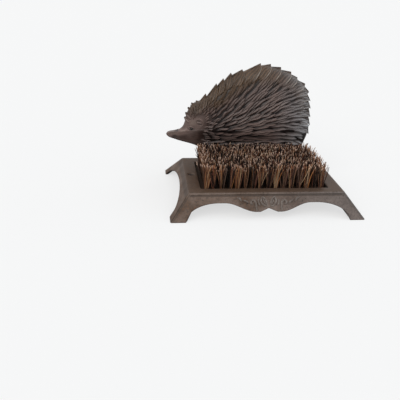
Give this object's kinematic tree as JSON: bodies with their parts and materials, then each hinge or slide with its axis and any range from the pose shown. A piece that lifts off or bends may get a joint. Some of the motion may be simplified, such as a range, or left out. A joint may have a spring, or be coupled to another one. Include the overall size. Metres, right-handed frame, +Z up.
{
  "type": "boot scraper",
  "caption": "Footed cast iron boot scraper: a bristle brush set in a low frame with arched sloping sides, and a hedgehog figure standing along the rear rim.",
  "frame": {"origin": "on the floor under the middle of the frame", "axes": "+X along the frame to the figure's rump, +Y to the rear where the figure stands, +Z up"},
  "size_m": [0.314, 0.214, 0.2123],
  "materials": {
    "cast_iron": "dull, sand cast, rust-brown",
    "block_wood": "oiled, dark",
    "bristle": "stiff natural fibre",
    "steel": "zinc plated, dull"
  },
  "bodies": {
    "root": {"base_frame": "cast_iron", "hedgehog": "cast_iron", "brush_block": "block_wood", "bristle_row_1": "bristle", "bristle_row_2": "bristle", "bristle_row_3": "bristle", "bristle_row_4": "bristle", "bristle_row_5": "bristle", "bristle_row_6": "bristle", "bristle_row_7": "bristle", "bristle_row_8": "bristle", "bristle_row_9": "bristle", "tuft_staples": "steel", "block_screws": "steel", "hedgehog_bolts": "steel", "hedgehog_washers": "steel"}
  },
  "joints": []
}
